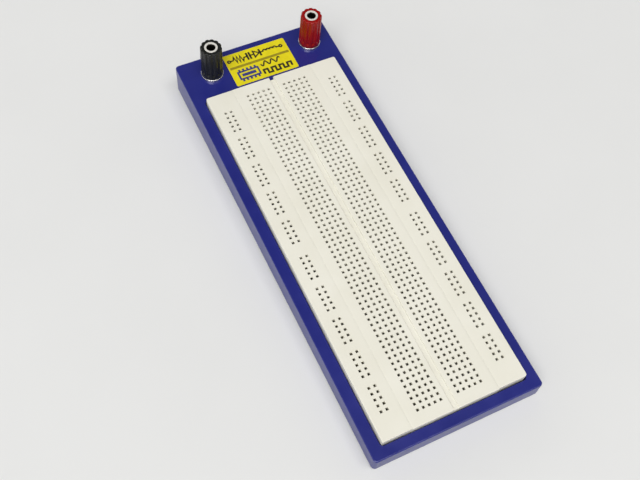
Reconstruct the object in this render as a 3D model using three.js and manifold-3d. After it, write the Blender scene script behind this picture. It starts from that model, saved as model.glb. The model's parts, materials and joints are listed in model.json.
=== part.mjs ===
// Solderless breadboard on a wedge-shaped moulded base, with two screw-down binding posts.
// Millimetres. X runs across the board, +Y towards the binding posts and +Z up.
// The origin is on the table, under the middle of the base.
import * as THREE from 'three';
import { mergeGeometries, mergeVertices } from 'three/addons/utils/BufferGeometryUtils.js';
import Module from 'manifold-3d';

// ---- Driving dimensions -------------------------------------------------------------------

const PITCH = 2.54; // between neighbouring tie points
const GAP = 0.3; // between pieces that touch
const OVER = 1; // how far a cutting solid runs past what it cuts
const FAR = 20; // clear of every piece on the deck

// The base's flat top, called the deck, rises towards the binding posts. Everything that
// stands on it is given by its height above the deck, measured square to it.
const DECK_HEIGHT = 12.65; // above the table, in the middle of the base
const DECK_X = 0.2; // the middle line of everything on the deck
const DECK_TILT = THREE.MathUtils.degToRad(1.673);

const BASE = { width: 74.6, length: 201, corner: 2, edge: 0.7, wall: 2.2, top: 2.4, rim: 1 };
const BASE_INNER_CORNER = 0.8;
const TRAY = { wall: 1.3, floor: 1.2, clearance: 0.4 };
const FOOT = { radius: 4, height: 1.4, edge: 0.3 };
const FOOT_PAD = { rim: 0.8, height: 1 };
const FEET = { frontX: 27, frontY: -88, rearX: 30.8, rearY: 82.5 };

const STRIPS = { width: 64, length: 171.7, thickness: 8.5, proud: 2.7, corner: 1, y: -9.53 };
const JOINT_X = 19.25; // where a bus strip meets the terminal strip
const ROWS = 64;
const COLUMNS = [3.81, 6.35, 8.89, 11.43, 13.97]; // on each side of the channel
const BUS_COLUMNS = [24.4, 26.95];
const BUS_GROUPS = 10;
const GROUP_ROWS = 5;
const PIT = { width: 1.2, depth: 1.4, overrun: 0.2 };
const CHANNEL = { width: 2.4, depth: 0.8 };
const NOTCH = { width: 1.9, depth: 1.2 };
const SKIN = 1.8; // of plastic over the contact troughs
const TROUGH = { inner: 2.7, outer: 15.1, margin: 1.6, busWidth: 2.1 };
const CONTACT = { thickness: 1.2, carrier: 0.4, lift: 0.5, end: 0.7, busThickness: 1.2 };
const TAPE = { thickness: 0.8, margin: 1 };
const LABEL = { width: 30.9, length: 18.5, thickness: 0.2, corner: 0.6, y: 88.17 };

const POST = { x: 1.35, spacing: 49.1, y: 90.2 };
const CAP = { radius: 4.75, foot: 4.9, bottom: 1.6, top: 18.3, bore: 3.35, chamfer: 0.55 };
const FLUTES = { count: 12, radius: 0.75, circle: 5.2, start: 3.4 };
const COLLAR = { inner: 2.75, outer: 3.05, bottom: 2.2, lip: 2.25, lipDepth: 0.8 };
const STUD = { thread: 2.5, socket: 2, socketFloor: 4.9, drillPoint: 0.5, tail: 2, bottom: -7.9 };
const STUD_CHAMFER = 0.4;
const FLANGE = { radius: 5.15, bottom: 0.3, top: 1.3 };
const WIRE_HOLE = { radius: 1.1, height: 2.9 };
const WASHER = { inner: 2.25, outer: 4, thickness: 0.7 };
const NUT = { inner: 2.25, acrossFlats: 7, thickness: 2.6 };

// ---- Materials ----------------------------------------------------------------------------

function paint(color, roughness, metalness) {
  return () => new THREE.MeshStandardMaterial({ color, roughness, metalness, flatShading: true });
}

const bluePlastic = paint(0x2b2e7b, 0.4, 0);
const ivoryPlastic = paint(0xeae7d9, 0.6, 0);
const blackRubber = paint(0x1a1a1b, 0.85, 0);
const foam = paint(0xd8d6cc, 0.9, 0);
const spring = paint(0xb9b7ae, 0.3, 1);
const nickel = paint(0xc9c7c1, 0.25, 1);
const yellowFilm = paint(0xdccd14, 0.5, 0);
const blackPlastic = paint(0x1c1c1d, 0.35, 0);
const redPlastic = paint(0x96120f, 0.35, 0);

// ---- Solids -------------------------------------------------------------------------------

const wasm = await Module();
wasm.setup();

function solid(geometry) {
  const bare = new THREE.BufferGeometry();
  bare.setAttribute('position', geometry.getAttribute('position'));
  bare.setIndex(geometry.getIndex());
  const merged = mergeVertices(bare, 1e-4);
  const vertProperties = merged.getAttribute('position').array;
  const triVerts = new Uint32Array(merged.getIndex().array);
  return new wasm.Manifold(new wasm.Mesh({ numProp: 3, vertProperties, triVerts }));
}

function geometryOf(manifold) {
  const { vertProperties, triVerts } = manifold.getMesh();
  const geometry = new THREE.BufferGeometry();
  geometry.setAttribute('position', new THREE.BufferAttribute(vertProperties, 3));
  geometry.setIndex(new THREE.BufferAttribute(triVerts, 1));
  return geometry;
}

function box(x0, x1, y0, y1, z0, z1) {
  const geometry = new THREE.BoxGeometry(x1 - x0, y1 - y0, z1 - z0);
  return geometry.translate((x0 + x1) / 2, (y0 + y1) / 2, (z0 + z1) / 2);
}

// An upright cylinder standing on (x, y, z0).
function rod(x, y, radius, z0, z1, segments) {
  const geometry = new THREE.CylinderGeometry(radius, radius, z1 - z0, segments);
  return geometry.rotateX(Math.PI / 2).translate(x, y, (z0 + z1) / 2);
}

// A turned piece about the Z axis, from [radius, height] pairs.
function turned(profile, segments) {
  const points = profile.map(([radius, height]) => new THREE.Vector2(radius, height));
  return new THREE.LatheGeometry(points, segments).rotateX(Math.PI / 2);
}

function extruded(shape, z0, z1) {
  const geometry = new THREE.ExtrudeGeometry(shape, { depth: z1 - z0, bevelEnabled: false });
  return geometry.translate(0, 0, z0);
}

// Anticlockwise points round a rectangle with round corners.
function roundedRectangle(width, length, corner, steps = 3) {
  const points = [];
  [[1, 1], [-1, 1], [-1, -1], [1, -1]].forEach(([sideX, sideY], quarter) => {
    for (let step = 0; step <= steps; step++) {
      const angle = (Math.PI / 2) * (quarter + step / steps);
      const x = sideX * (width / 2 - corner) + corner * Math.cos(angle);
      const y = sideY * (length / 2 - corner) + corner * Math.sin(angle);
      points.push(new THREE.Vector2(x, y));
    }
  });
  return points;
}

// A closed skin over rings of points stacked from the bottom up, each anticlockwise and convex.
function loft(rings) {
  const count = rings[0].length;
  const index = [];
  for (let i = 0; i < count; i++) {
    const next = (i + 1) % count;
    for (let low = 0; low < (rings.length - 1) * count; low += count) {
      index.push(low + i, low + next, low + count + next);
      index.push(low + i, low + count + next, low + count + i);
    }
  }
  const top = (rings.length - 1) * count;
  for (let i = 1; i < count - 1; i++) {
    index.push(0, i + 1, i);
    index.push(top, top + i, top + i + 1);
  }
  const geometry = new THREE.BufferGeometry().setFromPoints(rings.flat());
  return geometry.setIndex(index);
}

// ---- Deck placement -----------------------------------------------------------------------

const deck = new THREE.Group();
deck.position.set(DECK_X, 0, DECK_HEIGHT);
deck.rotation.x = DECK_TILT;
deck.updateMatrix();

function onDeck(geometry) {
  return geometry.applyMatrix4(deck.matrix);
}

// ---- Base ---------------------------------------------------------------------------------

// A ring of the base's outline, pulled in by inset and lying `below` the sloping deck.
function deckRing(inset, below, corner) {
  const { width, length } = BASE;
  const outline = roundedRectangle(width - 2 * inset, length - 2 * inset, corner);
  const slope = Math.tan(DECK_TILT);
  return outline.map(({ x, y }) => new THREE.Vector3(x, y, DECK_HEIGHT + y * slope - below));
}

function levelRing(inset, z, corner) {
  return deckRing(inset, 0, corner).map(({ x, y }) => new THREE.Vector3(x, y, z));
}

function baseShell() {
  const { corner, edge, wall, top, rim } = BASE;
  const outside = solid(loft([
    levelRing(0, rim, corner),
    deckRing(0, edge, corner),
    deckRing(edge * 0.3, edge * 0.3, corner - edge * 0.3),
    deckRing(edge, 0, corner - edge),
  ]));
  const inner = BASE_INNER_CORNER;
  const hollow = solid(loft([levelRing(wall, -OVER, inner), deckRing(wall, top, inner)]));

  const halfX = STRIPS.width / 2 + TRAY.clearance;
  const halfY = STRIPS.length / 2 + TRAY.clearance;
  const floor = stripBottom - 2 * GAP - TAPE.thickness;
  const underside = floor - TRAY.floor;
  const trayX = halfX + TRAY.wall;
  const trayY = halfY + TRAY.wall;
  const low = STRIPS.y - trayY;
  const high = STRIPS.y + trayY;
  const tray = solid(onDeck(box(-trayX, trayX, low, high, underside, -top / 2)));
  const pocketOutline = roundedRectangle(2 * halfX, 2 * halfY, STRIPS.corner + TRAY.clearance);
  const pocket = solid(onDeck(extruded(new THREE.Shape(pocketOutline), floor, OVER)
    .translate(0, STRIPS.y, 0)));

  const padZ = FOOT.height + GAP;
  const padTop = padZ + FOOT_PAD.height;
  const padRadius = FOOT.radius + FOOT_PAD.rim;
  let shell = outside.subtract(hollow).add(tray);
  for (const side of [-1, 1]) {
    const front = rod(side * FEET.frontX, FEET.frontY, padRadius, padZ, padTop, 20);
    const rear = rod(side * FEET.rearX, FEET.rearY, padRadius, padZ, DECK_HEIGHT, 20);
    shell = shell.add(solid(front)).add(solid(rear));
  }
  shell = shell.subtract(pocket);
  for (const x of postPlaces) {
    const hole = rod(x, POST.y, STUD.tail + GAP, -2 * top, top, 20);
    shell = shell.subtract(solid(onDeck(hole)));
  }
  return geometryOf(shell);
}

// ---- Strips -------------------------------------------------------------------------------

const stripTop = STRIPS.proud;
const stripBottom = STRIPS.proud - STRIPS.thickness;
const troughTop = stripTop - SKIN;
const halfLength = STRIPS.length / 2;
const beyond = halfLength + OVER;

function rowY(row) {
  return (row - (ROWS - 1) / 2) * PITCH;
}

// The rows of a bus column run in groups of five with one row left out between groups, and
// with two left out in the middle of the board.
function busRows() {
  const rows = [];
  for (let group = 0; group < BUS_GROUPS; group++) {
    const middle = group < BUS_GROUPS / 2 ? 0 : 1;
    const first = 2 + group * (GROUP_ROWS + 1) + middle;
    rows.push(Array.from({ length: GROUP_ROWS }, (_, i) => first + i));
  }
  return rows;
}

// Four-sided pits, one at each crossing of the columns and rows.
function pits(columns, rows) {
  const height = PIT.depth + PIT.overrun;
  const width = (PIT.width * height) / PIT.depth;
  const cone = new THREE.ConeGeometry(width / Math.SQRT2, height, 4);
  cone.rotateY(Math.PI / 4).rotateX(-Math.PI / 2);
  cone.translate(0, 0, stripTop + PIT.overrun - height / 2);
  const all = columns.flatMap((x) => rows.map((row) => cone.clone().translate(x, rowY(row), 0)));
  return solid(mergeGeometries(all));
}

// The whole block of strips is cut along its joints, and then each strip is finished.
function stripBlock(x0, x1) {
  const outline = roundedRectangle(STRIPS.width, STRIPS.length, STRIPS.corner);
  const block = solid(extruded(new THREE.Shape(outline), stripBottom, stripTop));
  return block.intersect(solid(box(x0, x1, -beyond, beyond, -FAR, FAR)));
}

function terminalStrip() {
  const half = JOINT_X - GAP / 2;
  const columns = [...COLUMNS.map((x) => -x), ...COLUMNS];
  const rows = Array.from({ length: ROWS }, (_, row) => row);
  const channelBottom = stripTop - CHANNEL.depth;
  const channel = box(-CHANNEL.width / 2, CHANNEL.width / 2, -beyond, beyond, channelBottom, FAR);
  const notchY = halfLength - NOTCH.depth;
  const notch = box(-NOTCH.width / 2, NOTCH.width / 2, notchY, beyond, -FAR, FAR);
  const troughY = rowY(ROWS - 1) + TROUGH.margin;
  let strip = stripBlock(-half, half).subtract(solid(channel)).subtract(solid(notch));
  for (const [x0, x1] of [[TROUGH.inner, TROUGH.outer], [-TROUGH.outer, -TROUGH.inner]]) {
    strip = strip.subtract(solid(box(x0, x1, -troughY, troughY, -FAR, troughTop)));
  }
  return geometryOf(strip.subtract(pits(columns, rows)));
}

function busStrip(side) {
  const inner = side * (JOINT_X + GAP / 2);
  const outer = side * (STRIPS.width / 2 + OVER);
  const columns = BUS_COLUMNS.map((x) => side * x);
  const rows = busRows().flat();
  const troughY = rowY(rows.at(-1)) + TROUGH.margin;
  const halfTrough = TROUGH.busWidth / 2;
  let strip = stripBlock(Math.min(inner, outer), Math.max(inner, outer));
  for (const x of columns) {
    const trough = box(x - halfTrough, x + halfTrough, -troughY, troughY, -FAR, troughTop);
    strip = strip.subtract(solid(trough));
  }
  return geometryOf(strip.subtract(pits(columns, rows)));
}

function tape(x0, x1) {
  const top = stripBottom - GAP;
  const halfY = halfLength - TAPE.margin;
  return box(x0 + TAPE.margin, x1 - TAPE.margin, -halfY, halfY, top - TAPE.thickness, top);
}

// ---- Contacts -----------------------------------------------------------------------------

// A toothed metal strip lying along Y: a low carrier with a tooth over each [y0, y1] span.
function comb(spans, x0, x1) {
  const low = stripBottom + CONTACT.lift;
  const carrier = low + CONTACT.carrier;
  const high = troughTop - CONTACT.lift;
  const shape = new THREE.Shape();
  shape.moveTo(spans[0][0], low);
  spans.forEach(([y0, y1], i) => {
    if (i > 0) {
      shape.lineTo(y0, carrier);
    }
    shape.lineTo(y0, high);
    shape.lineTo(y1, high);
    shape.lineTo(y1, i < spans.length - 1 ? carrier : low);
  });
  // The outline is drawn in (y, z) and pushed along X.
  const geometry = new THREE.ExtrudeGeometry(shape, { depth: x1 - x0, bevelEnabled: false });
  return geometry.rotateX(Math.PI / 2).rotateZ(Math.PI / 2).translate(x0, 0, 0);
}

function terminalContacts(side) {
  const half = CONTACT.thickness / 2;
  const spans = Array.from({ length: ROWS }, (_, row) => [rowY(row) - half, rowY(row) + half]);
  const inner = side * (COLUMNS[0] - CONTACT.end);
  const outer = side * (COLUMNS.at(-1) + CONTACT.end);
  return comb(spans, Math.min(inner, outer), Math.max(inner, outer));
}

function busRail(x) {
  const half = CONTACT.busThickness / 2;
  const spans = busRows().map((rows) => [rowY(rows[0]) - half, rowY(rows.at(-1)) + half]);
  return comb(spans, x - half, x + half);
}

// ---- Label and feet -----------------------------------------------------------------------

function label() {
  const outline = new THREE.Shape(roundedRectangle(LABEL.width, LABEL.length, LABEL.corner));
  const lift = GAP / 2;
  return extruded(outline, lift, lift + LABEL.thickness);
}

function foot() {
  const { radius, height, edge } = FOOT;
  return turned([[0, 0], [radius - edge, 0], [radius, edge], [radius, height], [0, height]], 24);
}

// ---- Binding posts ------------------------------------------------------------------------

const postPlaces = [POST.x - POST.spacing / 2, POST.x + POST.spacing / 2];
const underLip = CAP.top - COLLAR.lipDepth;

// A slightly tapering grip, fluted above a plain foot, chamfered on top and bored right through.
function cap() {
  const { radius, foot: footRadius, bottom, top, bore, chamfer } = CAP;
  const blank = solid(turned([
    [bore, bottom],
    [footRadius, bottom],
    [radius, top - chamfer],
    [radius - chamfer, top],
    [bore, top],
    [bore, bottom],
  ], 24));
  const cutters = [];
  for (let i = 0; i < FLUTES.count; i++) {
    const angle = (2 * Math.PI * i) / FLUTES.count;
    const x = FLUTES.circle * Math.cos(angle);
    const y = FLUTES.circle * Math.sin(angle);
    cutters.push(rod(x, y, FLUTES.radius, FLUTES.start, top + OVER, 8));
  }
  return geometryOf(blank.subtract(solid(mergeGeometries(cutters))));
}

// A tube with a lip at its top that reaches in over the stud.
function collar() {
  const { inner, outer, bottom, lip } = COLLAR;
  return turned([
    [inner, bottom],
    [outer, bottom],
    [outer, CAP.top],
    [lip, CAP.top],
    [lip, underLip],
    [inner, underLip],
    [inner, bottom],
  ], 24);
}

// Tail, flange and threaded tube in one piece, with the plug socket down the tube and the
// wire hole across it.
function stud() {
  const { thread, socket, socketFloor, drillPoint, tail, bottom } = STUD;
  const top = underLip - GAP;
  const turnedStud = solid(turned([
    [0, bottom],
    [tail - STUD_CHAMFER, bottom],
    [tail, bottom + STUD_CHAMFER],
    [tail, FLANGE.bottom],
    [FLANGE.radius, FLANGE.bottom],
    [FLANGE.radius, FLANGE.top],
    [thread, FLANGE.top],
    [thread, top],
    [socket, top],
    [socket, socketFloor],
    [0, socketFloor - drillPoint],
  ], 20));
  const hole = new THREE.CylinderGeometry(WIRE_HOLE.radius, WIRE_HOLE.radius, 4 * thread, 12);
  hole.rotateZ(Math.PI / 2).translate(0, 0, WIRE_HOLE.height);
  return geometryOf(turnedStud.subtract(solid(hole)));
}

const washerTop = -BASE.top - GAP;
const nutTop = washerTop - WASHER.thickness - GAP;

function lockWasher() {
  const { inner, outer, thickness } = WASHER;
  const low = washerTop - thickness;
  const loop = [[inner, low], [outer, low], [outer, washerTop], [inner, washerTop], [inner, low]];
  return turned(loop, 20);
}

function hexNut() {
  const shape = new THREE.Shape();
  const circumradius = NUT.acrossFlats / Math.sqrt(3);
  for (let i = 0; i < 6; i++) {
    const angle = (Math.PI / 3) * i;
    const x = circumradius * Math.cos(angle);
    const y = circumradius * Math.sin(angle);
    if (i === 0) {
      shape.moveTo(x, y);
    } else {
      shape.lineTo(x, y);
    }
  }
  const bore = new THREE.Path();
  bore.absarc(0, 0, NUT.inner, 0, 2 * Math.PI, true);
  shape.holes.push(bore);
  const depth = NUT.thickness;
  const settings = { depth, bevelEnabled: false, curveSegments: 8 };
  return new THREE.ExtrudeGeometry(shape, settings).translate(0, 0, nutTop - depth);
}

// ---- Assembly -----------------------------------------------------------------------------

const breadboard = new THREE.Group();
breadboard.add(deck);

function add(parent, name, geometry, material, x = 0, y = 0, z = 0) {
  const mesh = new THREE.Mesh(geometry, material());
  mesh.name = name;
  mesh.position.set(x, y, z);
  parent.add(mesh);
}

add(breadboard, 'base_shell', baseShell(), bluePlastic);
add(breadboard, 'foot_front_left', foot(), blackRubber, -FEET.frontX, FEET.frontY);
add(breadboard, 'foot_front_right', foot(), blackRubber, FEET.frontX, FEET.frontY);
add(breadboard, 'foot_rear_left', foot(), blackRubber, -FEET.rearX, FEET.rearY);
add(breadboard, 'foot_rear_right', foot(), blackRubber, FEET.rearX, FEET.rearY);

const strips = new THREE.Group();
strips.position.y = STRIPS.y;
deck.add(strips);

const halfWidth = STRIPS.width / 2;
add(strips, 'terminal_strip', terminalStrip(), ivoryPlastic);
add(strips, 'terminal_contacts_left', terminalContacts(-1), spring);
add(strips, 'terminal_contacts_right', terminalContacts(1), spring);
add(strips, 'terminal_tape', tape(-JOINT_X, JOINT_X), foam);
for (const [word, side] of [['left', -1], ['right', 1]]) {
  const [x0, x1] = [side * JOINT_X, side * halfWidth].sort((a, b) => a - b);
  add(strips, `bus_strip_${word}`, busStrip(side), ivoryPlastic);
  add(strips, `bus_rail_${word}_inner`, busRail(side * BUS_COLUMNS[0]), spring);
  add(strips, `bus_rail_${word}_outer`, busRail(side * BUS_COLUMNS[1]), spring);
  add(strips, `bus_tape_${word}`, tape(x0, x1), foam);
}

add(deck, 'label', label(), yellowFilm, 0, LABEL.y);

for (const [word, x, plastic] of [
  ['black', postPlaces[0], blackPlastic],
  ['red', postPlaces[1], redPlastic],
]) {
  add(deck, `${word}_post_cap`, cap(), plastic, x, POST.y);
  add(deck, `${word}_post_collar`, collar(), nickel, x, POST.y);
  add(deck, `${word}_post_stud`, stud(), nickel, x, POST.y);
  add(deck, `${word}_post_lock_washer`, lockWasher(), nickel, x, POST.y);
  add(deck, `${word}_post_nut`, hexNut(), nickel, x, POST.y);
}

export default breadboard;
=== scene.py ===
import json
import math

import bmesh
import bpy
from mathutils import Matrix, Vector


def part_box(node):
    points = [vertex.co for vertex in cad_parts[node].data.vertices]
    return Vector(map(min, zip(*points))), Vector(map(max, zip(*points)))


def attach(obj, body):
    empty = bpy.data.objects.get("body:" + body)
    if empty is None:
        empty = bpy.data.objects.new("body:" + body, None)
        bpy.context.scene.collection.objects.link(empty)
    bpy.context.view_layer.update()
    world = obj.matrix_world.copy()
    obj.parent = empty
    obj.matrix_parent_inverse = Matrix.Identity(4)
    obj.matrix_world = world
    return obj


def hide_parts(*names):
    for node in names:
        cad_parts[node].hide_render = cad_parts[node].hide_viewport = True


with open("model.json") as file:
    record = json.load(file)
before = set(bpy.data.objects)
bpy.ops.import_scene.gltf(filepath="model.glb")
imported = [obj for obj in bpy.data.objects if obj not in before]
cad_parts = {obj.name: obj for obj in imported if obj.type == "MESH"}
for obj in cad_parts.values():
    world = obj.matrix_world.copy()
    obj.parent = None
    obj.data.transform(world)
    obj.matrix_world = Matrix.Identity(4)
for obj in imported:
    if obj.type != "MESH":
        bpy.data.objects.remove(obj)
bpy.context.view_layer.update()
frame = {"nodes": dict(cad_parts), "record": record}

# ---------------------------------------------------------------------------------------------
# Sizes, in millimetres. The deck is the base's sloping top. Pieces on it are modelled in the
# deck's own frame: X across the board, Y along it towards the posts, Z square to the deck.
# ---------------------------------------------------------------------------------------------

MM = 0.001
PITCH = 2.54

BEYOND = 1  # how far a cutting solid runs past what it cuts
CLEAR_OF_DECK = 3

BASE_CORNER = 1.6
BASE_INNER_CORNER = BASE_CORNER + 0.8
BASE_EDGE = 0.5
WALL = 2.2
DECK_PLATE = 2.4
RIM_ROUND = 0.3
POCKET = {"clearance": 0.4, "below_tape": 0.06, "corner": 1.4, "edge": 0.25}
TRAY = {"wall": 1.3, "floor": 1.2, "corner": 2}
RIB = {"width": 1.2, "depth": 1.1, "count": 5, "reach": 0.5, "bite": 0.4}
POST_HOLE = {"clearance": 0.12, "bottom": -8}
FOOT_PLACES = ("front_left", "front_right", "rear_left", "rear_right")
FOOT_PAD = {"rim": 0.8, "gap": 0.02, "front_height": 1.2}

ROWS = 64
COLUMNS = [3.81, 6.35, 8.89, 11.43, 13.97]
BUS_COLUMNS = [24.4, 26.95]
BUS_GROUPS = 10
GROUP_ROWS = 5
JOINT_X = 19.25
JOINT_GAP = 0.02
JOINT_GROOVE = {"half": 0.55, "depth": 0.13}
STRIP_EDGE = 0.28
SKIN = 0.8
HOLE = {"mouth": 0.62, "throat": 0.54, "lead": 0.15, "past_skin": 0.4, "above": 0.3}
CHANNEL = {"half": 1.15, "depth": 0.8, "chamfer": 0.2}
NOTCH = {"half": 0.95, "depth": 1.2}
BUS_CORNERS = {"left": (0.3, 0.2, 0.2, 1.0), "right": (0.2, 1.1, 0.8, 0.2)}
BUS_FRONT_INSET = {"left": 0.15, "right": 0.25}
BUS_BACK_INSET = 0.1
BUS_TROUGH = {"height": 2.6, "overlap": 0.1}
CELL = {"half": 1.0, "margin": 1.25}
LEAF = {"thickness": 0.22, "half_width": 0.95, "outer": 0.74, "pinch": 0.2, "flare": 0.6}

CAP = {"top_radius": 4.85, "foot_radius": 4.95, "bore": 3.07, "bottom": 1.42, "chamfer": 0.6}
FLUTE = {"count": 12, "depth": 0.5, "share": 0.62, "start": 3.2, "run": 0.9, "segments": 14}
FLUTE_TURN = {"black": 17, "red": 24}
COLLAR = {"inner": 2.6, "outer": 2.98, "bottom": 2.2, "lip": 2.06, "lip_depth": 0.4}
STUD = {"major": 2.5, "socket": 2.0, "floor": 4.9, "drill_point": 0.6, "top": 17.5}
STUD_THREAD = {"depth": 0.32, "pitch": 0.8, "top": 9.0}
SOCKET = {"wall": 0.15, "shoulder": 9.2}
TAIL = {"major": 2.0, "bottom": -7.9, "chamfer": 0.35}
TAIL_THREAD = {"depth": 0.25, "pitch": 0.7, "top": -3.2}
NEAR_AXIS = 0.02
FLANGE = {"radius": 5.15, "bottom": 0.02, "top": 1.3}
WIRE_HOLE = {"radius": 1.1, "height": 2.9}
WASHER = {"inner": 2.2, "outer": 3.9, "thickness": 0.75, "lift": 0.12, "rise": 0.22, "split": 14}
NUT = {"across_flats": 7.0, "thickness": 2.8, "clearance": 0.06, "mouth": 0.3, "face_inset": 0.15}

LABEL_THICKNESS = 0.14
PRINT_THICKNESS = 0.02
PLATE_CORNERS = [0.6] * 4

# ---------------------------------------------------------------------------------------------
# Places from the frame
# ---------------------------------------------------------------------------------------------

joints = {joint["name"]: joint for joint in frame["record"]["behaviour"]["joints"]}
deck_normal = Vector(joints["black_cap_turn"]["axis"]).normalized()
deck_point = Vector(joints["black_cap_turn"]["pos_m"])
deck_middle = sum(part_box("terminal_strip"), Vector()).x / 2
deck_origin = Vector((deck_middle, 0, deck_normal.dot(deck_point) / deck_normal.z))
deck_forward = deck_normal.cross(Vector((1, 0, 0)))
deck_axes = Matrix((Vector((1, 0, 0)), deck_forward, deck_normal)).transposed()
ROW = Matrix.Scale(MM, 4)
DECK = Matrix.Translation(deck_origin) @ deck_axes.to_4x4() @ ROW
DECK_HEIGHT = deck_origin.z / MM
DECK_SLOPE = deck_forward.z / deck_forward.y


def deck_box(node):
    """Lowest and highest corners of a CAD node in the deck's frame."""
    inverse = DECK.inverted()
    points = [inverse @ vertex.co for vertex in frame["nodes"][node].data.vertices]
    low = Vector([min(p[k] for p in points) for k in range(3)])
    high = Vector([max(p[k] for p in points) for k in range(3)])
    return low, high


def row_box(node):
    """Lowest and highest corners of a CAD node in the row's frame."""
    low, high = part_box(node)
    return low / MM, high / MM


def on_deck(joint):
    """Where a joint's axis meets the deck, in the deck's frame."""
    return DECK.inverted() @ Vector(joints[joint]["pos_m"])


strip_low, strip_high = deck_box("terminal_strip")
STRIP_TOP = strip_high.z
STRIP_BOTTOM = strip_low.z
STRIP_Y = (strip_low.y + strip_high.y) / 2
HALF_LENGTH = (strip_high.y - strip_low.y) / 2
HALF_WIDTH = deck_box("bus_strip_right")[1].x
POSTS = {word: on_deck(f"{word}_cap_turn") for word in ("black", "red")}
CAP_TOP = deck_box("black_post_cap")[1].z

# ---------------------------------------------------------------------------------------------
# Camera, light and floor
# ---------------------------------------------------------------------------------------------

CAMERA_AT = (-114.06, -170.57, 338.34)
CAMERA_TOWARDS = (-16.01, -9.0, 15.0)
CAMERA_ROLL = 6.354
CAMERA_LENS = 51.0
FLOOR = {"half": 3000, "thickness": 20}
LIGHT_AIM = (0, 0, 0.02)
WORLD_AT_HORIZON = 0.4
WORLD_OVERHEAD = 0.07
SOFTBOXES = [
    # name, place and size in metres, power in watts
    ("top", (0, -1.5, 4.2), (4.0, 1.6), 95),
    ("front_left", (-1.9, -1.9, 3.6), (2.5, 2.0), 97),
    ("back", (0, 4.0, 1.2), (6.0, 1.6), 32),
    ("left", (-4.0, -0.3, 0.6), (5.0, 1.0), 28),
    ("right", (4.0, 0, 0.6), (5.0, 1.0), 18),
]


def make_camera():
    data = bpy.data.cameras.new("camera")
    data.lens = CAMERA_LENS
    data.sensor_width = 36
    data.clip_start = 0.01
    camera = bpy.data.objects.new("camera", data)
    bpy.context.collection.objects.link(camera)
    at = Vector(CAMERA_AT) * MM
    aim = (Vector(CAMERA_TOWARDS) * MM - at).to_track_quat("-Z", "Y").to_matrix().to_4x4()
    roll = Matrix.Rotation(math.radians(CAMERA_ROLL), 4, "Z")
    camera.matrix_world = Matrix.Translation(at) @ aim @ roll
    bpy.context.scene.camera = camera


def softbox(name, at, size, power):
    data = bpy.data.lights.new(name, "AREA")
    data.shape = "RECTANGLE"
    data.size, data.size_y = size
    data.energy = power
    light = bpy.data.objects.new(name, data)
    bpy.context.collection.objects.link(light)
    aim = (Vector(LIGHT_AIM) - Vector(at)).to_track_quat("-Z", "Y").to_matrix().to_4x4()
    light.matrix_world = Matrix.Translation(Vector(at)) @ aim


def make_light():
    world = bpy.data.worlds.new("studio")
    world.use_nodes = True
    tree = world.node_tree
    background = tree.nodes["Background"]
    background.inputs["Color"].default_value = (1.0, 1.0, 0.995, 1)
    direction = tree.nodes.new("ShaderNodeSeparateXYZ")
    tree.links.new(tree.nodes.new("ShaderNodeTexCoord").outputs["Generated"], direction.inputs[0])
    fade = tree.nodes.new("ShaderNodeMapRange")
    fade.inputs["To Min"].default_value = WORLD_AT_HORIZON
    fade.inputs["To Max"].default_value = WORLD_OVERHEAD
    tree.links.new(direction.outputs["Z"], fade.inputs["Value"])
    tree.links.new(fade.outputs["Result"], background.inputs["Strength"])
    bpy.context.scene.world = world
    bpy.context.scene.view_settings.view_transform = "Standard"
    for name, at, size, power in SOFTBOXES:
        softbox(name, at, size, power)


# ---------------------------------------------------------------------------------------------
# Meshes
# ---------------------------------------------------------------------------------------------


def skin(rings, closed=False):
    """Vertices and faces over rings of points. Closed joins the last ring to the first;
    otherwise both end rings are filled."""
    count = len(rings[0])
    verts = [point for ring in rings for point in ring]
    faces = []
    for level in range(len(rings) if closed else len(rings) - 1):
        low = level * count
        high = (level + 1) % len(rings) * count
        for i in range(count):
            j = (i + 1) % count
            faces.append((low + i, low + j, high + j, high + i))
    if not closed:
        faces.append(tuple(reversed(range(count))))
        faces.append(tuple(range(len(verts) - count, len(verts))))
    return verts, faces


def merged(shapes):
    verts, faces = [], []
    for more_verts, more_faces in shapes:
        start = len(verts)
        verts.extend(more_verts)
        faces.extend(tuple(start + i for i in face) for face in more_faces)
    return verts, faces


def moved(shape, x=0.0, y=0.0, z=0.0):
    verts, faces = shape
    return [(vx + x, vy + y, vz + z) for vx, vy, vz in verts], faces


def rounded(corners, steps=4, loop=False):
    """An outline from (a, b, radius) corners, with each corner of some radius made an arc."""
    points = []
    for i, (a, b, radius) in enumerate(corners):
        here = Vector((a, b))
        ends = not loop and i in (0, len(corners) - 1)
        if radius <= 0 or ends:
            points.append((a, b))
            continue
        before = (Vector(corners[i - 1][:2]) - here).normalized()
        after = (Vector(corners[(i + 1) % len(corners)][:2]) - here).normalized()
        half = before.angle(after) / 2
        first = here + before * radius / math.tan(half)
        last = here + after * radius / math.tan(half)
        centre = here + (before + after).normalized() * radius / math.sin(half)
        for step in range(steps + 1):
            share = step / steps
            mix = (first - centre) * (1 - share) + (last - centre) * share
            point = centre + mix.normalized() * radius
            points.append((point.x, point.y))
    return points


def quarter_round(radius, steps):
    """(inset, drop) pairs from the foot of a rounded edge up to its top. Read the other way
    round, as (lift, inset), they go up a rounded rim."""
    angles = [math.pi / 2 * step / steps for step in range(steps + 1)]
    return [(radius * (1 - math.cos(a)), radius * (1 - math.sin(a))) for a in angles]


def rectangle(x0, x1, y0, y1, radii=(0, 0, 0, 0), steps=6):
    """Anticlockwise outline from the front left corner; radii go round in the same order."""
    corners = [(x0, y0), (x1, y0), (x1, y1), (x0, y1)]
    return rounded([(*c, r) for c, r in zip(corners, radii)], steps, loop=True)


def slab(outline, z0, z1):
    return skin([[(x, y, z) for x, y in outline] for z in (z0, z1)])


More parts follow.
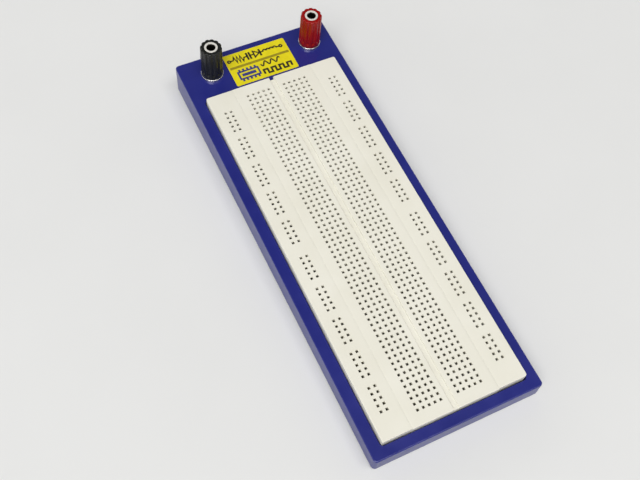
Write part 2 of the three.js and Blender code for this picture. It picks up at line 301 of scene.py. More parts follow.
def round_rings(profile, segments):
    """A ring about Z for each (radius, height) point."""
    angles = [2 * math.pi * i / segments for i in range(segments)]
    return [[(r * math.cos(a), r * math.sin(a), z) for a in angles] for r, z in profile]


def turned(profile, segments):
    """A closed loop of (radius, height) points turned about Z, for a piece with a bore."""
    return skin(round_rings(profile, segments), closed=True)


def turned_solid(profile, segments):
    """As turned, for a piece that its first and last rings close."""
    return skin(round_rings(profile, segments))


def rod(radius, z0, z1, segments=48):
    return turned_solid([(radius, z0), (radius, z1)], segments)


def ribbon(path, width, z0, z1, loop=False):
    """A flat line of some width along (x, y) points, with mitred corners."""
    rings = []
    last = len(path) - 1
    for i, here in enumerate(path):
        before = path[i - 1] if i > 0 or loop else None
        after = path[(i + 1) % len(path)] if i < last or loop else None
        into = (Vector(here) - Vector(before)).normalized() if before else None
        out = (Vector(after) - Vector(here)).normalized() if after else None
        into = into or out
        out = out or into
        along = (into + out).normalized()
        side = Vector((-along.y, along.x)) * width / 2 / max(0.35, along.dot(into))
        right = Vector(here) - side
        left = Vector(here) + side
        corners = ((right, z0), (right, z1), (left, z1), (left, z0))
        rings.append([(*point, z) for point, z in corners])
    return skin(rings, closed=loop)


def arc(x, y, radius, start, end, steps):
    angles = [math.radians(start + (end - start) * i / steps) for i in range(steps + 1)]
    return [(x + radius * math.cos(a), y + radius * math.sin(a)) for a in angles]


def circle(x, y, radius, steps=20):
    return arc(x, y, radius, 0, 360, steps)[:-1]


# ---------------------------------------------------------------------------------------------
# Objects
# ---------------------------------------------------------------------------------------------


def make(name, shape):
    mesh = bpy.data.meshes.new(name)
    mesh.from_pydata(shape[0], [], shape[1])
    obj = bpy.data.objects.new(name, mesh)
    bpy.context.collection.objects.link(obj)
    repair = bmesh.new()
    repair.from_mesh(mesh)
    bmesh.ops.recalc_face_normals(repair, faces=repair.faces)
    repair.to_mesh(mesh)
    repair.free()
    return obj


def settle(obj):
    """Applies obj's modifiers to its mesh."""
    evaluated = obj.evaluated_get(bpy.context.evaluated_depsgraph_get())
    mesh = bpy.data.meshes.new_from_object(evaluated)
    obj.modifiers.clear()
    old = obj.data
    obj.data = mesh
    bpy.data.meshes.remove(old)


def combine(obj, shape, operation="DIFFERENCE"):
    """Cuts a shape out of obj, or joins it on."""
    tool = make("tool", shape)
    modifier = obj.modifiers.new("combine", "BOOLEAN")
    modifier.operation = operation
    modifier.solver = "MANIFOLD"
    modifier.object = tool
    settle(obj)
    tool_mesh = tool.data
    bpy.data.objects.remove(tool)
    bpy.data.meshes.remove(tool_mesh)


def finish_piece(obj, placed, material, body, stands_for=(), crease=32):
    """Places a piece, smooths it up to the crease angle and hangs it on its body."""
    obj.data.transform(placed)
    detail = bmesh.new()
    detail.from_mesh(obj.data)
    for face in detail.faces:
        face.smooth = True
    for edge in detail.edges:
        edge.smooth = edge.calc_face_angle(math.pi) < math.radians(crease)
    detail.to_mesh(obj.data)
    detail.free()
    weighted = obj.modifiers.new("weighted", "WEIGHTED_NORMAL")
    weighted.keep_sharp = True
    weighted.weight = 100
    settle(obj)
    obj.data.materials.clear()
    obj.data.materials.append(material)
    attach(obj, body)
    if stands_for:
        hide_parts(*stands_for)


# ---------------------------------------------------------------------------------------------
# Materials
# ---------------------------------------------------------------------------------------------


class Look:
    """A material being built: its node tree and the Principled shader in it."""

    def __init__(self, name):
        self.material = bpy.data.materials.new(name)
        self.material.use_nodes = True
        self.tree = self.material.node_tree
        self.shader = self.tree.nodes["Principled BSDF"]
        self.coords = self.tree.nodes.new("ShaderNodeTexCoord").outputs["Object"]

    def set(self, **values):
        for name, value in values.items():
            socket = name.upper() if name == "ior" else name.capitalize()
            self.shader.inputs[socket].default_value = value

    def link(self, output, target):
        self.tree.links.new(output, target)

    def noise(self, size_mm, detail, stretch=(1, 1, 1)):
        mapping = self.tree.nodes.new("ShaderNodeMapping")
        mapping.inputs["Scale"].default_value = stretch
        self.link(self.coords, mapping.inputs["Vector"])
        noise = self.tree.nodes.new("ShaderNodeTexNoise")
        noise.inputs["Scale"].default_value = 1 / (size_mm * MM)
        noise.inputs["Detail"].default_value = detail
        self.link(mapping.outputs["Vector"], noise.inputs["Vector"])
        return noise.outputs["Fac"]

    def spread(self, value, low, high, start=0.3, end=0.7):
        """A value between start and end spread over low to high."""
        spread = self.tree.nodes.new("ShaderNodeMapRange")
        for name, number in (
            ("From Min", start),
            ("From Max", end),
            ("To Min", low),
            ("To Max", high),
        ):
            spread.inputs[name].default_value = number
        self.link(value, spread.inputs["Value"])
        return spread.outputs["Result"]

    def blend(self, factor, first, second):
        mix = self.tree.nodes.new("ShaderNodeMix")
        mix.data_type = "RGBA"
        self.link(factor, mix.inputs["Factor"])
        for socket, colour in ((mix.inputs["A"], first), (mix.inputs["B"], second)):
            if isinstance(colour, tuple):
                socket.default_value = (*colour, 1)
            else:
                self.link(colour, socket)
        return mix.outputs["Result"]

    def colour(self, output):
        self.link(output, self.shader.inputs["Base Color"])

    def rough(self, output):
        self.link(output, self.shader.inputs["Roughness"])

    def bump(self, height, depth_mm, strength=1.0):
        bump = self.tree.nodes.new("ShaderNodeBump")
        bump.inputs["Distance"].default_value = depth_mm * MM
        bump.inputs["Strength"].default_value = strength
        self.link(height, bump.inputs["Height"])
        self.link(bump.outputs["Normal"], self.shader.inputs["Normal"])


def moulded(name, shade, tint, rough, grain_mm, grain_depth, wear=0.03):
    """Moulded plastic: faint clouding of the colour, a fine grain and slightly uneven gloss."""
    look = Look(name)
    cloud = look.spread(look.noise(18, 4), 0, 1)
    look.colour(look.blend(cloud, shade, tint))
    look.rough(look.spread(look.noise(9, 2), rough - wear, rough + wear))
    look.bump(look.noise(grain_mm, 2), grain_depth, 0.35)
    return look


def plated(name, shade, tint, rough):
    """Bright plated metal, with fine turning lines and faint staining."""
    look = Look(name)
    look.set(metallic=1.0)
    stain = look.spread(look.noise(1.6, 5), 0, 1)
    look.colour(look.blend(stain, shade, tint))
    lines = look.noise(0.25, 3, stretch=(0.4, 0.4, 4))
    look.rough(look.spread(lines, rough * 0.7, rough * 1.4))
    look.bump(lines, 0.004, 0.5)
    return look


def printed(name, shade, tint):
    look = Look(name)
    look.colour(look.blend(look.spread(look.noise(0.8, 5), 0, 1), shade, tint))
    look.set(roughness=0.45)
    look.bump(look.noise(0.4, 3), 0.004, 0.3)
    return look


def ivory_plastic():
    return moulded("ivory", (0.80, 0.775, 0.665), (0.835, 0.812, 0.712), 0.52, 0.5, 0.012)


def blue_plastic():
    look = moulded("blue", (0.010, 0.0145, 0.172), (0.014, 0.019, 0.2), 0.32, 1.0, 0.008)
    look.set(ior=1.58)
    return look


def black_plastic():
    look = moulded("black", (0.008, 0.009, 0.008), (0.013, 0.014, 0.012), 0.27, 0.9, 0.005)
    look.set(ior=1.4)
    return look


def red_plastic():
    look = moulded("red", (0.25, 0.002, 0.0015), (0.31, 0.004, 0.003), 0.24, 0.9, 0.005)
    look.set(ior=1.36)
    return look


def foam():
    look = Look("foam")
    cells = look.noise(0.35, 3)
    look.colour(look.blend(look.spread(cells, 0, 1), (0.55, 0.53, 0.47), (0.74, 0.72, 0.66)))
    look.set(roughness=0.9)
    look.bump(cells, 0.12, 0.8)
    return look


def rubber():
    look = Look("rubber")
    dust = look.spread(look.noise(1.2, 6), 0, 1, 0.45, 0.8)
    look.colour(look.blend(dust, (0.012, 0.012, 0.013), (0.05, 0.05, 0.048)))
    look.set(roughness=0.8)
    look.bump(look.noise(0.3, 4), 0.03, 0.6)
    return look


def satin_plate():
    look = plated("satin", (0.84, 0.81, 0.74), (0.90, 0.88, 0.82), 0.42)
    look.set(metallic=0.35)
    return look


def label_film():
    look = Look("film")
    ink = look.spread(look.noise(2.5, 5), 0, 1)
    look.colour(look.blend(ink, (0.72, 0.61, 0.004), (0.82, 0.71, 0.008)))
    look.set(roughness=0.38)
    look.bump(look.noise(0.9, 3), 0.02, 0.3)
    return look


def make_materials():
    return {
        "blue": blue_plastic(),
        "ivory": ivory_plastic(),
        "black": black_plastic(),
        "red": red_plastic(),
        "nickel": plated("nickel", (0.66, 0.64, 0.60), (0.80, 0.79, 0.76), 0.2),
        "satin": satin_plate(),
        # Dark plated metal for the socket tube: painted shade for the inside of the bore.
        "socket_shade": plated("socket_shade", (0.05, 0.042, 0.034), (0.10, 0.085, 0.07), 0.4),
        "spring": plated("spring", (0.42, 0.39, 0.33), (0.60, 0.57, 0.50), 0.3),
        "foam": foam(),
        "rubber": rubber(),
        "film": label_film(),
        "ink_dark": printed("ink_dark", (0.018, 0.014, 0.006), (0.035, 0.028, 0.01)),
        "ink_blue": printed("ink_blue", (0.03, 0.035, 0.16), (0.045, 0.05, 0.22)),
        "ink_band": printed("ink_band", (0.27, 0.21, 0.006), (0.36, 0.29, 0.008)),
    }


def make_floor():
    look = Look("floor")
    paper = look.spread(look.noise(60, 4), 0, 1)
    look.colour(look.blend(paper, (0.77, 0.77, 0.758), (0.785, 0.785, 0.773)))
    look.set(roughness=0.75)
    look.bump(look.noise(0.9, 4), 0.02, 0.2)
    half = FLOOR["half"]
    floor = make("floor", slab(rectangle(-half, half, -half, half), -FLOOR["thickness"], 0))
    floor.data.transform(ROW)
    floor.data.materials.append(look.material)


# ---------------------------------------------------------------------------------------------
# Base
# ---------------------------------------------------------------------------------------------


def base_outline(inset, corner):
    high = row_box("base_shell")[1]
    radii = [max(0.4, corner - inset)] * 4
    x, y = high.x - inset, high.y - inset
    return rectangle(-x, x, -y, y, radii, steps=8)


def level(outline, z):
    return [(x, y, z) for x, y in outline]


def below_deck(outline, drop):
    return [(x, y, DECK_HEIGHT + y * DECK_SLOPE - drop) for x, y in outline]


def on_slope(shape):
    """A shape from the deck's frame put into the row's frame, both in millimetres."""
    to_row = ROW.inverted() @ DECK
    return [tuple(to_row @ Vector(v)) for v in shape[0]], shape[1]


def base_walls(rim):
    """Rings up the outside of the base, from its rounded rim to its rounded top edge."""
    rings = []
    for lift, inset in quarter_round(RIM_ROUND, 3):
        rings.append(level(base_outline(inset, BASE_CORNER), rim + lift))
    for inset, drop in quarter_round(BASE_EDGE, 6):
        rings.append(below_deck(base_outline(inset, BASE_CORNER), drop))
    return rings


def add_tray(base, half_x, half_y, floor):
    """The box under the deck that the pocket is sunk into, with ribs across its bottom."""
    under = floor - TRAY["floor"]
    side = half_x + TRAY["wall"]
    front = STRIP_Y - half_y - TRAY["wall"]
    back = STRIP_Y + half_y + TRAY["wall"]
    corners = [TRAY["corner"]] * 4
    tray = slab(rectangle(-side, side, front, back, corners), under, -DECK_PLATE / 2)
    combine(base, on_slope(tray), "UNION")
    x = side + RIB["reach"]
    half = RIB["width"] / 2
    low, high = under - RIB["depth"], under + RIB["bite"]
    # The places are evenly spaced, and the one nearest the front is left without a rib.
    for i in range(1, RIB["count"]):
        y = front + (back - front) * (i + 0.5) / RIB["count"]
        combine(base, on_slope(slab(rectangle(-x, x, y - half, y + half), low, high)), "UNION")


def add_foot_pads(base):
    for place in FOOT_PLACES:
        low, high = row_box(f"foot_{place}")
        centre = (low + high) / 2
        top = DECK_HEIGHT if "rear" in place else high.z + FOOT_PAD["front_height"]
        pad = rod((high.x - low.x) / 2 + FOOT_PAD["rim"], high.z + FOOT_PAD["gap"], top)
        combine(base, moved(pad, centre.x, centre.y), "UNION")


def cut_pocket(base, half_x, half_y, floor):
    """The pocket that the strips sit in, a little wider at its mouth."""
    edge, corner = POCKET["edge"], POCKET["corner"]
    wide_x, wide_y = half_x + edge, half_y + edge
    outline = rectangle(-half_x, half_x, -half_y, half_y, [corner] * 4)
    flare = rectangle(-wide_x, wide_x, -wide_y, wide_y, [corner + edge] * 4)
    rings = [level(outline, floor), level(outline, -edge)]
    rings += [level(flare, 0), level(flare, CLEAR_OF_DECK)]
    combine(base, on_slope(moved(skin(rings), y=STRIP_Y)))


def cut_post_holes(base):
    radius = TAIL["major"] + POST_HOLE["clearance"]
    for post in POSTS.values():
        hole = moved(rod(radius, POST_HOLE["bottom"], CLEAR_OF_DECK), post.x, post.y)
        combine(base, on_slope(hole))


def make_base(look):
    rim = row_box("base_shell")[0].z
    base = make("base_moulding", skin(base_walls(rim)))
    inner = base_outline(WALL, BASE_INNER_CORNER)
    combine(base, skin([level(inner, rim - 5 * BEYOND), below_deck(inner, DECK_PLATE)]))
    half_x = HALF_WIDTH + POCKET["clearance"]
    half_y = HALF_LENGTH + POCKET["clearance"]
    floor = deck_box("terminal_tape")[0].z - POCKET["below_tape"]
    add_tray(base, half_x, half_y, floor)
    add_foot_pads(base)
    cut_pocket(base, half_x, half_y, floor)
    cut_post_holes(base)
    finish_piece(base, ROW, look, "root", ["base_shell"])


def make_feet(look):
    for place in FOOT_PLACES:
        low, high = row_box(f"foot_{place}")
        radius = (high.x - low.x) / 2
        corners = [
            (0.15, 0, 0),
            (radius - 0.35, 0, 0.35),
            (radius - 0.1, high.z * 0.6, 0.3),
            (radius, high.z, 0),
            (0.15, high.z, 0),
        ]
        centre = (low + high) / 2
        foot = moved(turned_solid(rounded(corners), 64), centre.x, centre.y)
        piece = make(f"bumper_{place}", foot)
        finish_piece(piece, ROW, look, "root", [f"foot_{place}"])


# ---------------------------------------------------------------------------------------------
# Strips
# ---------------------------------------------------------------------------------------------


def row_y(row):
    return STRIP_Y + (row - (ROWS - 1) / 2) * PITCH


def bus_rows():
    """The rows of a bus column, in groups of five with the middle gap two rows wide."""
    groups = []
    for group in range(BUS_GROUPS):
        first = 2 + group * (GROUP_ROWS + 1) + (0 if group < BUS_GROUPS / 2 else 1)
        groups.append([first + i for i in range(GROUP_ROWS)])
    return groups


def strip_block(name, x0, x1, front, back, radii, left=1, right=1):
    """A strip's block with its top edges rounded; left and right are 0 for a square edge."""
    rings = []
    insets = [(0, STRIP_BOTTOM)]
    insets += [(inset, STRIP_TOP - drop) for inset, drop in quarter_round(STRIP_EDGE, 4)]
    for inset, z in insets:
        corners = [max(0.05, radius - inset) for radius in radii]
        sides = (x0 + inset * left, x1 - inset * right)
        rings.append(level(rectangle(*sides, front + inset, back - inset, corners), z))
    return make(name, skin(rings))


def cut_joint_groove(strip, x):
    """Half of the shallow groove that marks the joint between two strips."""
    half, depth = JOINT_GROOVE["half"], JOINT_GROOVE["depth"]
    section = [(x - half, 0), (x, -depth), (x + half, 0)]
    section += [(x + half, BEYOND), (x - half, BEYOND)]
    ends = (STRIP_Y - HALF_LENGTH - BEYOND, STRIP_Y + HALF_LENGTH + BEYOND)
    combine(strip, skin([[(a, y, STRIP_TOP + z) for a, z in section] for y in ends]))


def tie_holes(columns, rows):
    """Square holes with a lead-in at each crossing of the columns and rows."""
    steps = [
        (HOLE["throat"], -SKIN - HOLE["past_skin"]),
        (HOLE["throat"], -HOLE["lead"]),
        (HOLE["mouth"], 0),
        (HOLE["mouth"] + HOLE["above"], HOLE["above"]),
    ]
    hole = skin([level(rectangle(-h, h, -h, h), STRIP_TOP + z) for h, z in steps])
    return merged([moved(hole, x, row_y(row)) for x in columns for row in rows])


def box(x0, x1, y0, y1, z0, z1):
    """A plain block, used only to cut."""
    return slab(rectangle(x0, x1, y0, y1), z0, z1)


def make_terminal_strip(look):
    front, back = STRIP_Y - HALF_LENGTH, STRIP_Y + HALF_LENGTH
    half = JOINT_X - JOINT_GAP / 2
    strip = strip_block("terminal_block", -half, half, front, back, [0.2] * 4, 0, 0)
    for side in (-1, 1):
        cut_joint_groove(strip, side * JOINT_X)
    depth, chamfer, wide = CHANNEL["depth"], CHANNEL["chamfer"], CHANNEL["half"]
    profile = rounded(
        [
            (-wide - chamfer - BEYOND, BEYOND, 0),
            (-wide - chamfer, 0, 0),
            (-wide, -chamfer, 0),
            (-wide, -depth, 0.3),
            (wide, -depth, 0.3),
            (wide, -chamfer, 0),
            (wide + chamfer, 0, 0),
            (wide + chamfer + BEYOND, BEYOND, 0),
        ]
    )
    ends = (front - BEYOND, back + BEYOND)
    combine(strip, skin([[(x, y, STRIP_TOP + z) for x, z in profile] for y in ends]))
    half, inner = NOTCH["half"], back - NOTCH["depth"]
    notch = rectangle(-half, half, inner, back + BEYOND, [0.15] * 4)
    combine(strip, slab(notch, STRIP_BOTTOM - BEYOND, STRIP_TOP + BEYOND))
    rows = range(ROWS)
    sides = [[-x for x in reversed(COLUMNS)], COLUMNS]
    cells = []
    for columns in sides:
        x0, x1 = columns[0] - CELL["margin"], columns[-1] + CELL["margin"]
        for y in map(row_y, rows):
            y0, y1 = y - CELL["half"], y + CELL["half"]
            cells.append(box(x0, x1, y0, y1, STRIP_BOTTOM - BEYOND, STRIP_TOP - SKIN))
    combine(strip, merged(cells))
    combine(strip, tie_holes(sides[0] + sides[1], rows))
    finish_piece(strip, DECK, look, "root", ["terminal_strip"])


def make_bus_strip(word, side, look):
    """A bus strip. Its ends stop a little short of the terminal strip's ends."""
    front = STRIP_Y - HALF_LENGTH + BUS_FRONT_INSET[word]
    back = STRIP_Y + HALF_LENGTH - BUS_BACK_INSET
    x0, x1 = sorted((side * (JOINT_X + JOINT_GAP / 2), side * HALF_WIDTH))
    rounded_sides = (1, 0) if side < 0 else (0, 1)
    corners = BUS_CORNERS[word]
    strip = strip_block(f"bus_block_{word}", x0, x1, front, back, corners, *rounded_sides)
    cut_joint_groove(strip, side * JOINT_X)
    half = CELL["half"]
    groups = bus_rows()
    cells, troughs = [], []
    trough_top = STRIP_BOTTOM + BUS_TROUGH["height"]
    cell_bottom = STRIP_BOTTOM + BUS_TROUGH["height"] - BUS_TROUGH["overlap"]
    for column in BUS_COLUMNS:
        x0, x1 = side * column - half, side * column + half
        y0, y1 = row_y(groups[0][0]) - half, row_y(groups[-1][-1]) + half
        troughs.append(box(x0, x1, y0, y1, STRIP_BOTTOM - BEYOND, trough_top))
        for rows in groups:
            y0, y1 = row_y(rows[0]) - half, row_y(rows[-1]) + half
            cells.append(box(x0, x1, y0, y1, cell_bottom, STRIP_TOP - SKIN))
    combine(strip, merged(troughs))
    combine(strip, merged(cells))
    columns = [side * column for column in BUS_COLUMNS]
    combine(strip, tie_holes(columns, [row for rows in groups for row in rows]))
    finish_piece(strip, DECK, look, "root", [f"bus_strip_{word}"])


def plate_rings(low, high, steps):
    """Rings of a flat piece's outline for (inset, height) steps."""
    rings = []
    for inset, z in steps:
        sides = (low.x + inset, high.x - inset, low.y + inset, high.y - inset)
        rings.append(level(rectangle(*sides, PLATE_CORNERS), z))
    return rings


def make_tape(node, look):
    low, high = deck_box(node)
    steps = [(0, low.z), (-0.12, low.z + 0.12), (-0.12, high.z + 0.1), (0, high.z + 0.22)]
    piece = make(f"{node}_foam", skin(plate_rings(low, high, steps)))
    finish_piece(piece, DECK, look, "root", [node])


# ---------------------------------------------------------------------------------------------
# Contacts
# ---------------------------------------------------------------------------------------------

CLIP_BASE = STRIP_BOTTOM + 0.4
CLIP_SHOULDER = STRIP_BOTTOM + 2.3
LEAF_TIP = STRIP_TOP - SKIN - 1.2


def leaf_path(sign):
    """A spring leaf seen from its end: up, in to the pinch and out again at the mouth."""
    outer, pinch, flare = LEAF["outer"], LEAF["pinch"], LEAF["flare"]
    return [
        (sign * outer, CLIP_SHOULDER - 0.2),
        (sign * outer, CLIP_SHOULDER + 1.0),
        (sign * pinch, LEAF_TIP - 1.4),
        (sign * pinch, LEAF_TIP - 1.0),
        (sign * flare, LEAF_TIP),
    ]


def pressed(path, start, end):
    """Sheet metal with the given (a, height) section, from start to end along the other axis."""
    return ribbon(path, LEAF["thickness"], start, end)


def along_x(shape):
    return [(c, a, b) for a, b, c in shape[0]], [tuple(reversed(f)) for f in shape[1]]


def along_y(shape):
    return [(a, c, b) for a, b, c in shape[0]], shape[1]


def trough_path():
    outer = LEAF["outer"]
    return [(-outer, CLIP_SHOULDER), (-outer, CLIP_BASE), (outer, CLIP_BASE), (outer, CLIP_SHOULDER)]


def make_terminal_clips(word, side, look):
    """One clip for each row: a folded trough with a pair of leaves at each tie point."""
    half = LEAF["half_width"]
    columns = sorted(side * x for x in COLUMNS)
    parts = [pressed(trough_path(), columns[0] - half, columns[-1] + half)]
    for x in columns:
        parts += [pressed(leaf_path(sign), x - half, x + half) for sign in (-1, 1)]
    clip = along_x(merged(parts))
    clips = merged([moved(clip, y=row_y(row)) for row in range(ROWS)])
    piece = make(f"terminal_clips_{word}", clips)
    node = f"terminal_contacts_{word}"
    finish_piece(piece, DECK, look, "root", [node], crease=20)


def make_bus_rail(word, place, column, look):
    half = LEAF["half_width"]
    rows = [row for group in bus_rows() for row in group]
    parts = [pressed(trough_path(), row_y(rows[0]) - half, row_y(rows[-1]) + half)]
    for y in map(row_y, rows):
        parts += [pressed(leaf_path(sign), y - half, y + half) for sign in (-1, 1)]
    piece = make(f"bus_clips_{word}_{place}", moved(along_y(merged(parts)), x=column))
    node = f"bus_rail_{word}_{place}"
    finish_piece(piece, DECK, look, "root", [node], crease=20)


# ---------------------------------------------------------------------------------------------
# Label, printed with generic circuit symbols
# ---------------------------------------------------------------------------------------------


def zigzag():
    """A resistor between two leads."""
    peaks = [(4.0 + 0.75 * i, 4.0 + (1.8 if i % 2 == 0 else -1.8)) for i in range(1, 7)]
    return [(2.6, 4.0), (4.0, 4.0), *peaks, (9.3, 4.0), (11.0, 4.0)]


def coil():
    turns = [point for i in range(4) for point in arc(19.8 + 1.7 * i, 4.0, 0.85, 180, 360, 8)]
    return [(17.4, 4.0), (18.9, 4.0), *turns, (27.2, 4.0)]


def sine_wave():
    return [(14.8 + 0.35 * i, 10.7 + 1.2 * math.sin(0.66 * i)) for i in range(29)]


def square_wave():
    points = [(14.8, 16.6)]
    for i in range(4):
        x = 14.8 + 3.9 * i
        points += [(x, 14.2), (x + 1.95, 14.2), (x + 1.95, 16.6), (x + 3.9, 16.6)]
    return points[:-1]


def chip_outline():
    lines = [
        ([(3.2, 11.4), (12.9, 11.4), (12.9, 15.4), (3.2, 15.4)], 0.9, True),
        ([(4.6, 13.4), (11.4, 13.4)], 1.6, False),
    ]
    for i in range(5):
        x = 4.2 + 1.92 * i
        lines += [([(x, 9.9), (x, 11.1)], 1.0, False), ([(x, 15.7), (x, 16.9)], 1.0, False)]
    return lines


def label_symbols():
    """Lines by ink: (points, width, closed), in millimetres from the label's top left corner
    with y downwards."""
    thin, bold = 0.7, 0.95
    dark = [
        (circle(1.9, 4.0, 0.65), thin, True),
        (zigzag(), thin, False),
        ([(11.0, 1.9), (11.0, 6.1)], bold, False),
        ([(12.3, 1.9), (12.3, 6.1)], bold, False),
        ([(12.3, 4.0), (14.4, 4.0)], thin, False),
        ([(14.4, 2.2), (14.4, 5.8), (17.0, 4.0)], thin, True),
        ([(17.4, 2.0), (17.4, 6.0)], bold, False),
        (coil(), thin, False),
        (circle(27.9, 4.0, 0.65), thin, True),
        (sine_wave(), thin, False),
        (square_wave(), bold, False),
    ]
    band = [([(0.7, 8.2), (30.2, 8.2)], 1.3, False)]
    return {"ink_dark": dark, "ink_blue": chip_outline(), "ink_band": band}


def make_label(looks):
    low, high = deck_box("label")
    steps = [(0, 0.01), (0, LABEL_THICKNESS - 0.04), (0.04, LABEL_THICKNESS)]
    plate = make("label_film", skin(plate_rings(low, high, steps)))
    finish_piece(plate, DECK, looks["film"], "root", ["label"])
    for ink, lines in label_symbols().items():
        shapes = []
        for points, width, loop in lines:
            path = [(low.x + x, high.y - y) for x, y in points]
            bottom = LABEL_THICKNESS - 0.01
            shapes.append(ribbon(path, width, bottom, LABEL_THICKNESS + PRINT_THICKNESS, loop))
        print_piece = make(f"label_{ink}", merged(shapes))
        finish_piece(print_piece, DECK, looks[ink], "root")


# ---------------------------------------------------------------------------------------------
# Binding posts
# ---------------------------------------------------------------------------------------------


def fluted(profile, turn):
    """A bored grip: (radius, height, flute depth) points turned, with flutes cut into it."""
    per_flute = FLUTE["segments"]
    count = FLUTE["count"] * per_flute
    rings = []
    for radius, height, depth in profile:
        ring = []
        for i in range(count):
            share = (i / per_flute + 0.5) % 1
            off = abs(share - 0.5) / (FLUTE["share"] / 2)
            groove = math.cos(math.pi / 2 * off) if off < 1 else 0
            angle = 2 * math.pi * i / count + math.radians(turn)
            r = radius - depth * groove
            ring.append((r * math.cos(angle), r * math.sin(angle), height))
        rings.append(ring)
    return skin(rings, closed=True)


def make_cap(word, post, look):
    foot, top_radius = CAP["foot_radius"], CAP["top_radius"]
    bore, bottom, chamfer = CAP["bore"], CAP["bottom"], CAP["chamfer"]
    start, run, depth = FLUTE["start"], FLUTE["run"], FLUTE["depth"]
    top = CAP_TOP

    def side(height):
        return foot + (top_radius - foot) * (height - start) / (top - start)

    profile = [(bore, bottom + 0.15, 0), (bore + 0.15, bottom, 0), (foot - 0.25, bottom, 0)]
    profile += [(foot - 0.07, bottom + 0.07, 0), (foot, bottom + 0.25, 0), (foot, start, 0)]
    for step in range(1, 8):
        height = start + run * step / 7
        profile.append((side(height), height, depth * math.sin(math.pi / 2 * step / 7)))
    profile += [(side(height), height, depth) for height in (start + 5, top - chamfer - 0.15)]
    for step, (inset, drop) in enumerate(quarter_round(chamfer, 5)):
        profile.append((top_radius - inset, top - drop, depth * (1 - 0.6 * step / 5)))
    edge = top_radius - chamfer - 0.12
    profile += [(edge, top, 0), (bore + 0.12, top, 0), (bore, top - 0.12, 0)]
    cap = make(f"{word}_grip", moved(fluted(profile, FLUTE_TURN[word]), post.x, post.y))
    finish_piece(cap, DECK, look, f"{word}_cap", [f"{word}_post_cap"])


def make_collar(word, post, look):
    inner, outer, bottom, lip = (COLLAR[key] for key in ("inner", "outer", "bottom", "lip"))
    under_lip = CAP_TOP - COLLAR["lip_depth"]
    corners = [
        (inner, bottom, 0.1),
        (outer, bottom, 0.1),
        (outer, CAP_TOP, 0.12),
        (lip, CAP_TOP, 0.1),
        (lip, under_lip, 0.05),
        (inner, under_lip, 0.05),
    ]
    collar = turned(rounded(corners, loop=True), 72)
    piece = make(f"{word}_insert", moved(collar, post.x, post.y))
    finish_piece(piece, DECK, look, f"{word}_collar", [f"{word}_post_collar"])


def threaded(z0, major, thread, segments):
    """Rings of a right-handed thread from z0 up to its top, faded out at both ends."""
    per_turn = 8
    z1, pitch = thread["top"], thread["pitch"]
    rings = []
    count = round((z1 - z0) / pitch * per_turn)
    for step in range(count + 1):
        z = z0 + (z1 - z0) * step / count
        fade = min(1, step / per_turn, (count - step) / per_turn)
        ring = []
        for i in range(segments):
            turn = i / segments
            phase = (z / pitch - turn) % 1
            cutting = max(0, 1 - abs(phase - 0.5) / 0.42)
            r = major - thread["depth"] * fade * cutting
            ring.append((r * math.cos(2 * math.pi * turn), r * math.sin(2 * math.pi * turn), z))
        rings.append(ring)
    return rings


def make_stud(word, post, look):
    segments = 48
    major, top, floor = STUD["major"], STUD["top"], STUD["floor"]
    tail, bottom, chamfer = TAIL["major"], TAIL["bottom"], TAIL["chamfer"]
    radius, low, high = FLANGE["radius"], FLANGE["bottom"], FLANGE["top"]
    bore = STUD["socket"] + SOCKET["wall"] + 0.02
    rings = round_rings([(NEAR_AXIS, bottom), (tail - chamfer, bottom)], segments)
    rings += threaded(bottom + chamfer, tail, TAIL_THREAD, segments)
    flange = [(tail, low, 0), (radius, low, 0.12), (radius, high, 0.25), (major + 0.1, high, 0)]
    rings += round_rings(rounded(flange), segments)
    rings += threaded(high + 0.1, major, STUD_THREAD, segments)
    barrel = [(major, SOCKET["shoulder"]), (major, top - 0.02), (bore, top - 0.02)]
    barrel += [(bore, floor), (NEAR_AXIS, floor - STUD["drill_point"])]
    rings += round_rings(barrel, segments)
    stud = make(f"{word}_screw", skin(rings))
    hole = rod(WIRE_HOLE["radius"], -radius, radius, 32)
    across = [(z, y, x + WIRE_HOLE["height"]) for x, y, z in hole[0]]
    combine(stud, (across, hole[1]))
    stud.data.transform(Matrix.Translation((post.x, post.y, 0)))
    finish_piece(stud, DECK, look, "root", [f"{word}_post_stud"], crease=40)


def make_socket(word, post, look):
    """A dark tube put in the stud's socket and over its rim: painted shade, so that the deep bore
    looks dark.
    """
    major, socket, top, floor = (STUD[key] for key in ("major", "socket", "top", "floor"))
    outer = socket + SOCKET["wall"]
    corners = [
        (socket, floor + 0.05, 0),
        (outer, floor + 0.05, 0),
        (outer, top, 0),
        (major, top, 0.03),
        (major, top + 0.06, 0.03),
        (socket, top + 0.06, 0.05),
    ]
    tube = turned(rounded(corners, loop=True), 48)
    piece = make(f"{word}_socket_shade_tube", moved(tube, post.x, post.y))
    finish_piece(piece, DECK, look, "root")


def make_lock_washer(word, post, look):
    """A split spring washer: a square section wound through just under one turn."""
    node = f"{word}_post_lock_washer"
    bottom = deck_box(node)[0].z + WASHER["lift"]
    inner, outer, gap = WASHER["inner"], WASHER["outer"], WASHER["split"]
    rings = []
    steps = 60
    for i in range(steps + 1):
        angle = math.radians(gap / 2 + (360 - gap) * i / steps)
        rise = WASHER["rise"] * (i / steps - 0.5)
        z0, z1 = bottom + rise, bottom + WASHER["thickness"] + rise
        corners = [(inner, z0, 0.1), (outer, z0, 0.1), (outer, z1, 0.1), (inner, z1, 0.1)]
        section = rounded(corners, 3, loop=True)
        rings.append([(r * math.cos(angle), r * math.sin(angle), z) for r, z in section])
    piece = make(f"{word}_spring_washer", moved(skin(rings), post.x, post.y))
    finish_piece(piece, DECK, look, "root", [node])


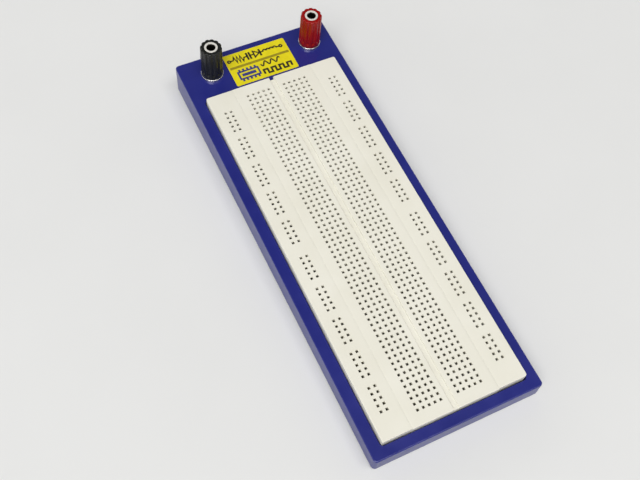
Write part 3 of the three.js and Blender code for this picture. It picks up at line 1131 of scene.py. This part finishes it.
def make_nut(word, post, look):
    """A hexagon nut with chamfered corners and a bore just clear of the stud's thread."""
    z1 = deck_box(f"{word}_post_nut")[1].z
    z0 = z1 - NUT["thickness"]
    flats = NUT["across_flats"] / 2
    bore = TAIL["major"] + NUT["clearance"]
    mouth, inset = NUT["mouth"], NUT["face_inset"]
    segments = 72

    def corner(angle):
        off = (angle + math.pi / 6) % (math.pi / 3) - math.pi / 6
        return flats / math.cos(off)

    plan = [
        ("bore", z0 + mouth),
        ("mouth", z0),
        ("face", z0),
        ("hex", z0),
        ("hex", z1),
        ("face", z1),
        ("mouth", z1),
        ("bore", z1 - mouth),
    ]
    rings = []
    for kind, z in plan:
        ring = []
        for i in range(segments):
            angle = 2 * math.pi * i / segments
            edge = corner(angle)
            slope = (edge - flats + inset) * 0.5
            r = {"bore": bore, "mouth": bore + mouth, "face": flats - inset, "hex": edge}[kind]
            height = z
            if kind == "hex":
                height = z + slope if z == z0 else z - slope
            ring.append((r * math.cos(angle), r * math.sin(angle), height))
        rings.append(ring)
    piece = make(f"{word}_hex_nut", moved(skin(rings, closed=True), post.x, post.y))
    finish_piece(piece, DECK, look, "root", [f"{word}_post_nut"], crease=25)


# ---------------------------------------------------------------------------------------------
# The object
# ---------------------------------------------------------------------------------------------

make_camera()
make_light()
make_floor()

looks = {name: look.material for name, look in make_materials().items()}

make_base(looks["blue"])
make_feet(looks["rubber"])
make_terminal_strip(looks["ivory"])
make_tape("terminal_tape", looks["foam"])
for word, side in (("left", -1), ("right", 1)):
    make_bus_strip(word, side, looks["ivory"])
    make_tape(f"bus_tape_{word}", looks["foam"])
    make_terminal_clips(word, side, looks["spring"])
    for place, column in zip(("inner", "outer"), BUS_COLUMNS):
        make_bus_rail(word, place, side * column, looks["spring"])
make_label(looks)
for word, post in POSTS.items():
    make_cap(word, post, looks[word])
    make_collar(word, post, looks["satin"])
    make_stud(word, post, looks["nickel"])
    # The dark socket tube is painted shade inside the bore.
    make_socket(word, post, looks["socket_shade"])
    make_lock_washer(word, post, looks["nickel"])
    make_nut(word, post, looks["nickel"])
